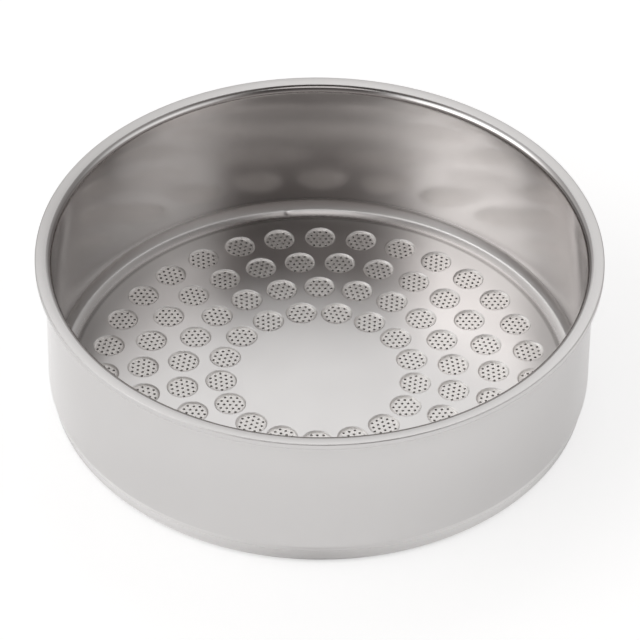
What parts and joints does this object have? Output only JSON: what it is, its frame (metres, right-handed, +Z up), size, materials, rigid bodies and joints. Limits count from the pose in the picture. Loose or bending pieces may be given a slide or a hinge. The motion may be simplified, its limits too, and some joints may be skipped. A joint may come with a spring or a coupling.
{
  "type": "espresso filter basket",
  "caption": "Shallow round strainer cup drawn from stainless sheet, with a straight wall, a narrow outward lip and a flat floor covered in small recesses full of fine holes.",
  "frame": {"origin": "centre of the flat underside, which is also the centre of the bounding box's bottom face", "axes": "+Z up along the axis of the cup, towards its open mouth; -Y is the front, where every ring of recesses has one of its recesses"},
  "size_m": [0.06, 0.06, 0.018],
  "materials": {
    "steel": "satin, smooth, with faint draw lines down the wall"
  },
  "bodies": {
    "root": {"basket": "steel"}
  },
  "joints": []
}
